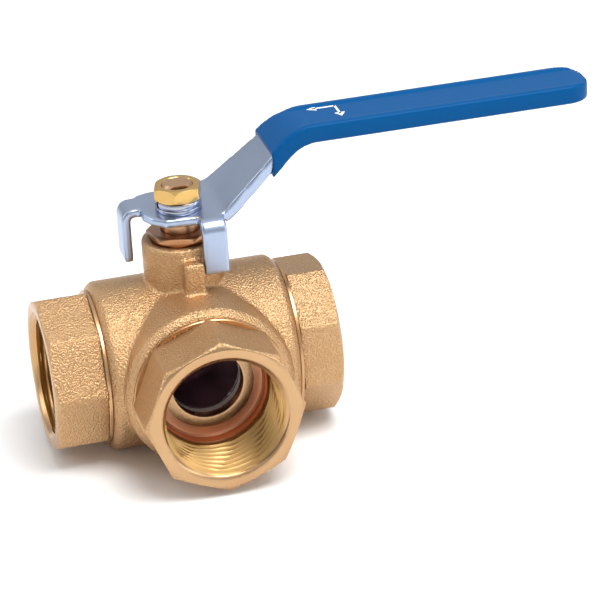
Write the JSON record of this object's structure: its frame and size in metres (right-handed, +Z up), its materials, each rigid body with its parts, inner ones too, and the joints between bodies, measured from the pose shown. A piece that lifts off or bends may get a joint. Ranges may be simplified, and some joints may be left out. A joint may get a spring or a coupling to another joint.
{
  "type": "three-way ball valve",
  "caption": "Three-way brass ball valve: a tee of female-threaded ports with octagonal ends, and a lever that turns an L-ported ball to join the front port to either side port.",
  "frame": {"origin": "the point where the axes of the three ports and of the stem meet, in the middle of the ball", "axes": "+X along the run from the left port to the right port, -Y out of the front port, +Z up the stem; at rest the lever points along +X"},
  "size_m": [0.1515, 0.0645, 0.0845],
  "materials": {
    "cast_brass": "hot-forged brass, shot-blasted to a fine grain",
    "machined_brass": "forged and turned brass, satin, bright threads",
    "stem_brass": "turned brass, bright",
    "ball_chrome": "brass ball, chrome plated and polished",
    "seat_plastic": "white fluoropolymer",
    "seal_rubber": "black nitrile rubber",
    "plated_steel": "pressed steel, bright zinc plated",
    "yellow_zinc": "steel, yellow zinc plated",
    "blue_vinyl": "dipped blue vinyl, soft gloss"
  },
  "bodies": {
    "valve_body": {"body": "cast_brass", "left_cap": "machined_brass", "right_cap": "machined_brass", "front_cap": "machined_brass", "left_seat": "seat_plastic", "right_seat": "seat_plastic", "front_seat": "seat_plastic", "back_seat": "seat_plastic", "left_cap_o_ring": "seal_rubber", "right_cap_o_ring": "seal_rubber", "front_cap_o_ring": "seal_rubber", "thrust_washer": "seat_plastic", "lower_packing": "seat_plastic", "upper_packing": "seat_plastic", "gland_nut": "stem_brass"},
    "handle": {"ball": "ball_chrome", "stem": "stem_brass", "lever": "plated_steel", "grip": "blue_vinyl", "flat_washer": "plated_steel", "spring_washer": "plated_steel", "lever_nut": "yellow_zinc"}
  },
  "joints": [
    {"name": "lever_turn", "type": "hinge", "parent": "valve_body", "child": "handle", "pos_m": [0, 0, 0], "axis": [0, 0, 1], "range_deg": [0, 90]}
  ]
}
